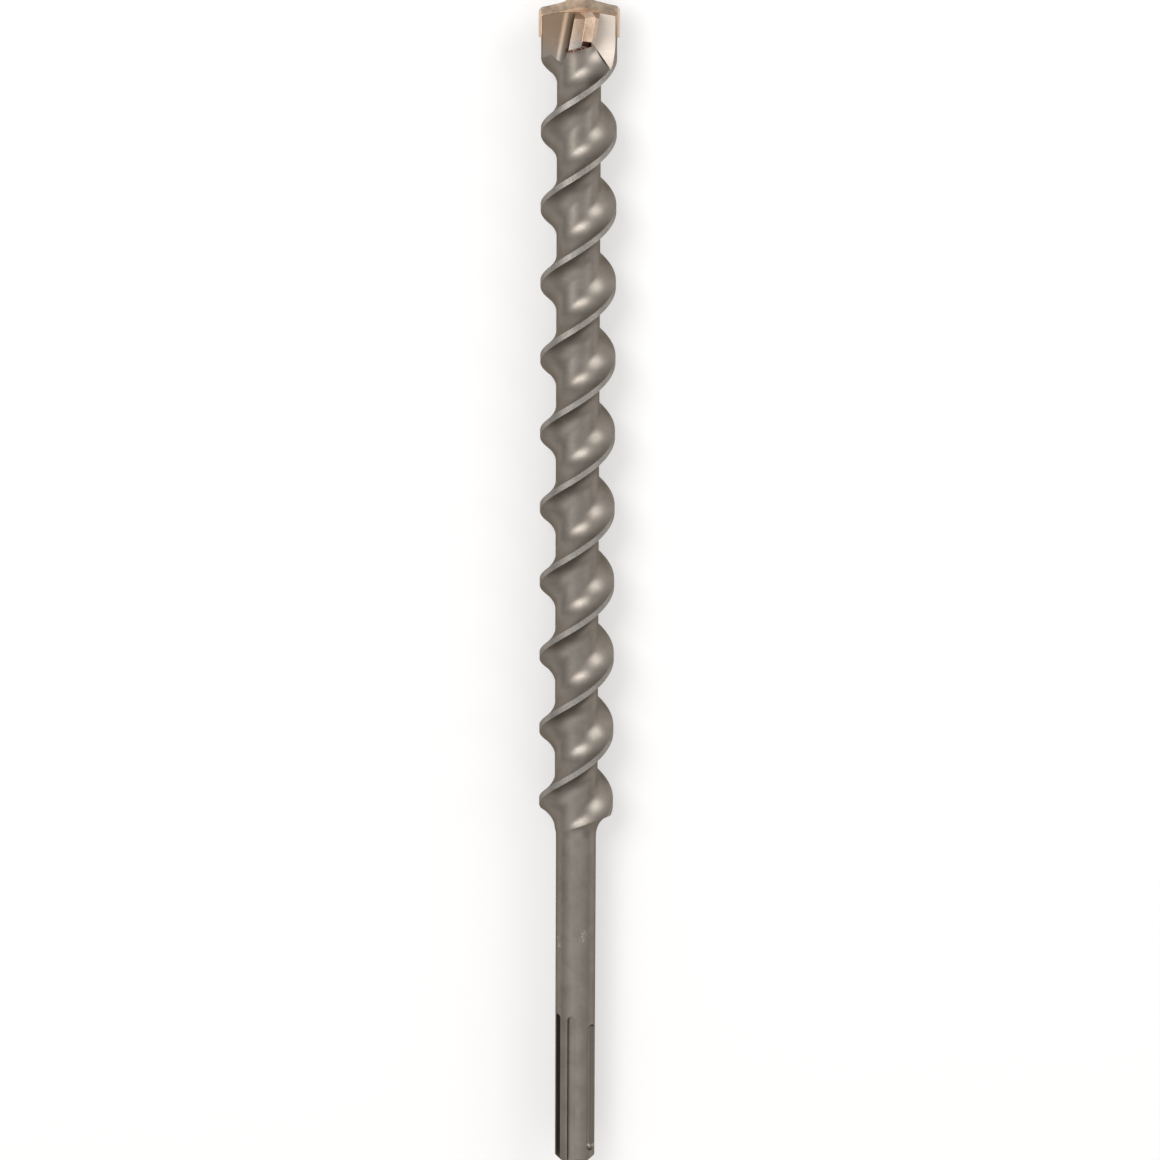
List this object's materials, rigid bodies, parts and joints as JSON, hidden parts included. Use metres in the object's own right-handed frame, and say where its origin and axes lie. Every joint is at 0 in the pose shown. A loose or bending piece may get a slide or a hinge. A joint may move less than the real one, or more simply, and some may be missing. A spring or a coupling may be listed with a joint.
{
  "type": "rotary hammer drill bit",
  "caption": "Long masonry drill bit for a heavy rotary hammer: slotted round shank, right-hand spiral flutes and a carbide-tipped four-cutter head.",
  "frame": {"origin": "centre of the striking face at the shank's end, on the bit's axis", "axes": "+Y runs along the axis from the striking face to the point; +Z is the side with the front side cutter, turned up at the camera; +X is the picture's right"},
  "size_m": [0.0354, 0.5334, 0.0332],
  "materials": {
    "blasted_alloy_steel": "hardened alloy steel, blasted to a satin warm grey",
    "sintered_tungsten_carbide": "sintered and ground, browned by brazing heat",
    "copper_braze": "bright melted braze layer"
  },
  "bodies": {
    "root": {"drill_body": "blasted_alloy_steel", "main_cutting_plate": "sintered_tungsten_carbide", "side_cutter_front": "sintered_tungsten_carbide", "side_cutter_rear": "sintered_tungsten_carbide", "main_plate_braze": "copper_braze", "side_cutter_braze_front": "copper_braze", "side_cutter_braze_rear": "copper_braze"}
  },
  "joints": []
}
